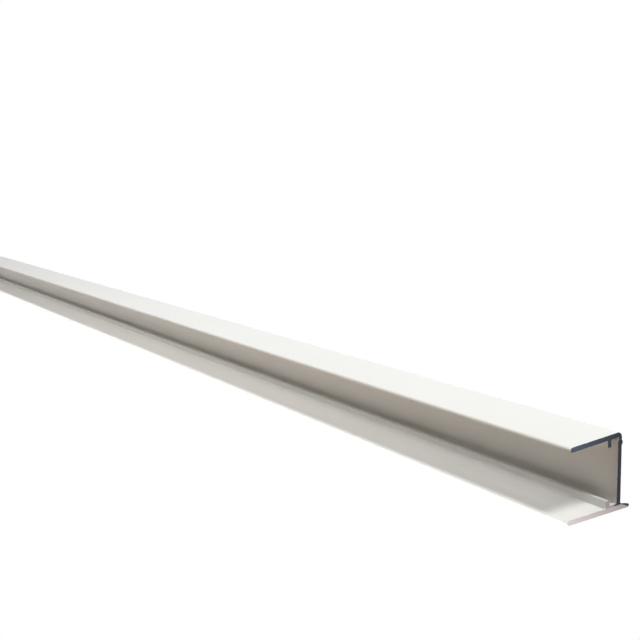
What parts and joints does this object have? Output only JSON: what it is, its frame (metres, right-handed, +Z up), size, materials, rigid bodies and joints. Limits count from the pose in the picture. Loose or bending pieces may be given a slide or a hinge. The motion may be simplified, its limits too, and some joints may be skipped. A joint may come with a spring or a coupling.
{
  "type": "aluminium extrusion profile",
  "caption": "White coated extruded aluminium channel for the edge of a glazing sheet, with toed-in rounded legs, stop ribs beside a drain gutter and a drip lip behind the web.",
  "frame": {"origin": "middle of the bar's length and width, on the face that lies on the floor", "axes": "+X along the bar, +Y from the open mouth to the web and the drip lip, +Z up"},
  "size_m": [1, 0.031, 0.0289],
  "materials": {
    "white_coat": "satin white powder coat on extruded aluminium, bare saw-cut ends"
  },
  "bodies": {
    "root": {"channel_profile": "white_coat"}
  },
  "joints": []
}
